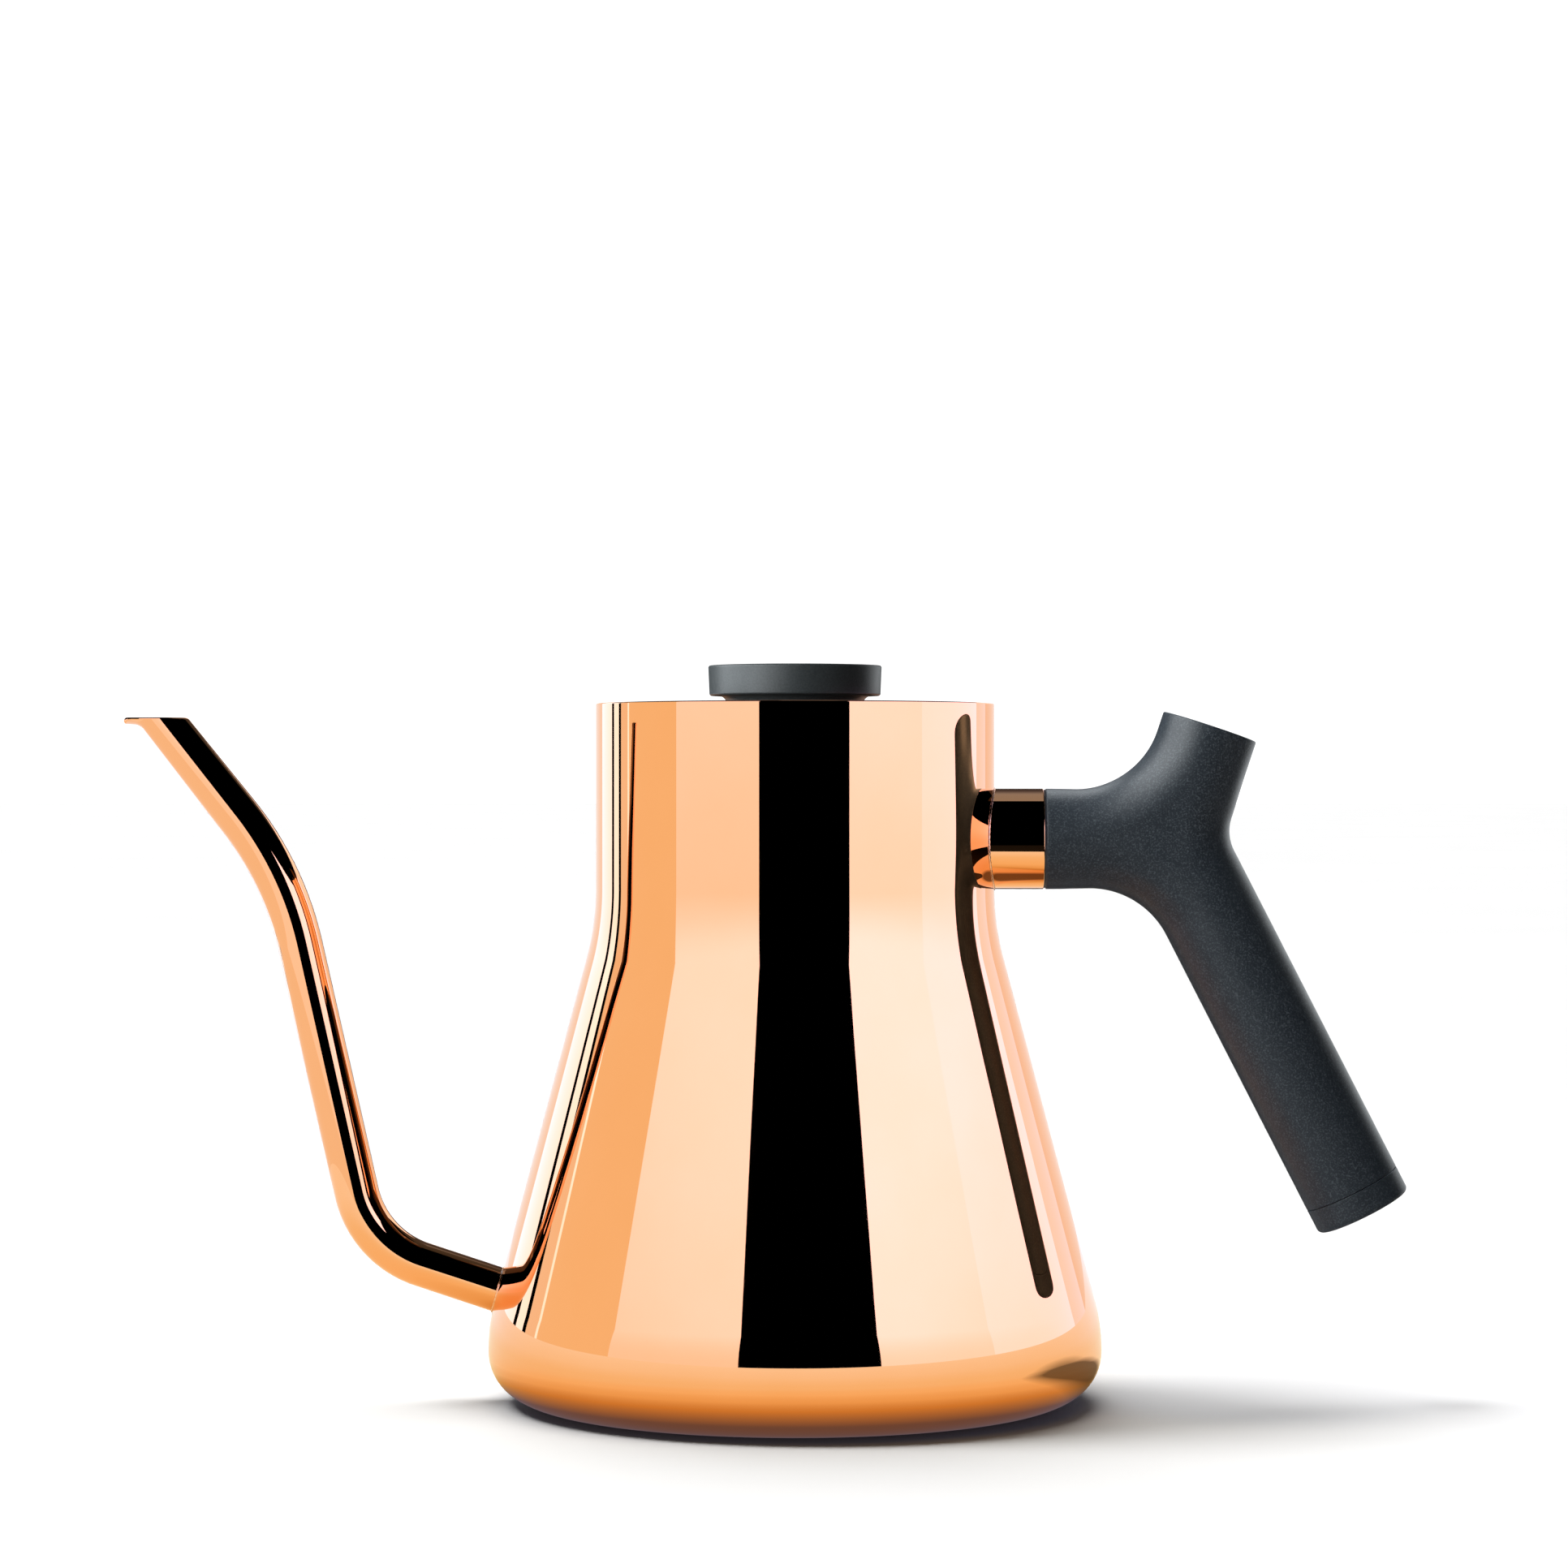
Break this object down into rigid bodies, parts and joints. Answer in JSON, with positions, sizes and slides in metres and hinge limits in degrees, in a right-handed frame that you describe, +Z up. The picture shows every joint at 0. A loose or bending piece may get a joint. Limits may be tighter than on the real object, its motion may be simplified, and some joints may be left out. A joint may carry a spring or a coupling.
{
  "type": "gooseneck kettle",
  "caption": "Stovetop pour-over kettle with a slender gooseneck spout, forked counterweighted handle and a lift-off lid whose knob is a dial thermometer.",
  "frame": {"origin": "centre of the base, on the surface that the kettle stands on", "axes": "+Z up through the lid, +X towards the handle, so the spout points to -X; +Y completes a right-handed frame"},
  "size_m": [0.2927, 0.1396, 0.1677],
  "materials": {
    "copper_polish": "mirror-polished stainless steel with a copper-coloured metal coating",
    "weld_bead": "bright polished weld bead in the copper colour",
    "collar_steel": "satin stainless steel",
    "machined_steel": "turned stainless steel",
    "blackened_screw": "black-oxide steel",
    "weight_steel": "plain turned steel bar",
    "handle_moulding": "matt charcoal moulded plastic with a fine speckled grain",
    "cap_moulding": "matt charcoal moulded plastic, same grain as the handle",
    "knob_moulding": "matt charcoal moulded plastic with a fine grain",
    "liner_moulding": "black moulded plastic, fine satin",
    "silicone_black": "matt black silicone rubber",
    "silicone_grey": "translucent grey silicone rubber",
    "probe_steel": "drawn stainless steel tube",
    "bimetal": "bimetal strip wire",
    "dial_print": "matt charcoal dial with plain pale scale marks",
    "lens_glass": "clear mineral glass",
    "bezel_black": "black satin coated metal ring",
    "pointer_paint": "off-white painted pressed metal"
  },
  "bodies": {
    "kettle": {"body_shell": "copper_polish", "base_disc": "copper_polish", "mouth_collar": "collar_steel", "spout_tube": "copper_polish", "spout_weld_bead": "weld_bead", "handle_boss": "machined_steel", "neck_sleeve": "copper_polish", "sleeve_weld_bead": "weld_bead", "neck_gasket": "silicone_black", "handle_shell": "handle_moulding", "clamp_screw": "blackened_screw", "weight_washer": "silicone_black", "counterweight": "weight_steel", "end_cap_o_ring": "silicone_black", "handle_end_cap": "cap_moulding"},
    "mouth_seal": {"lid_gasket": "silicone_grey"},
    "lid": {"lid_plate": "copper_polish", "lid_liner": "liner_moulding", "thermometer_case": "knob_moulding", "stem_bush": "machined_steel", "probe_stem": "probe_steel", "stem_seal": "silicone_grey", "stem_nut": "machined_steel", "bimetal_coil": "bimetal", "dial_face": "dial_print", "lens_gasket": "silicone_black", "dial_lens": "lens_glass", "lens_bezel": "bezel_black"},
    "needle": {"pointer": "pointer_paint", "pointer_shaft": "probe_steel"}
  },
  "joints": [
    {"name": "lid_lift", "type": "slide", "parent": "kettle", "child": "mouth_seal", "axis": [0, 0, 1], "range_m": [0, 0.12]},
    {"name": "lid_turn", "type": "hinge", "parent": "mouth_seal", "child": "lid", "pos_m": [0, 0, 0.157], "axis": [0, 0, 1], "continuous": true},
    {"name": "pointer_sweep", "type": "hinge", "parent": "lid", "child": "needle", "pos_m": [0, 0, 0.1638], "axis": [0, 0, -1], "range_deg": [0, 270]}
  ]
}
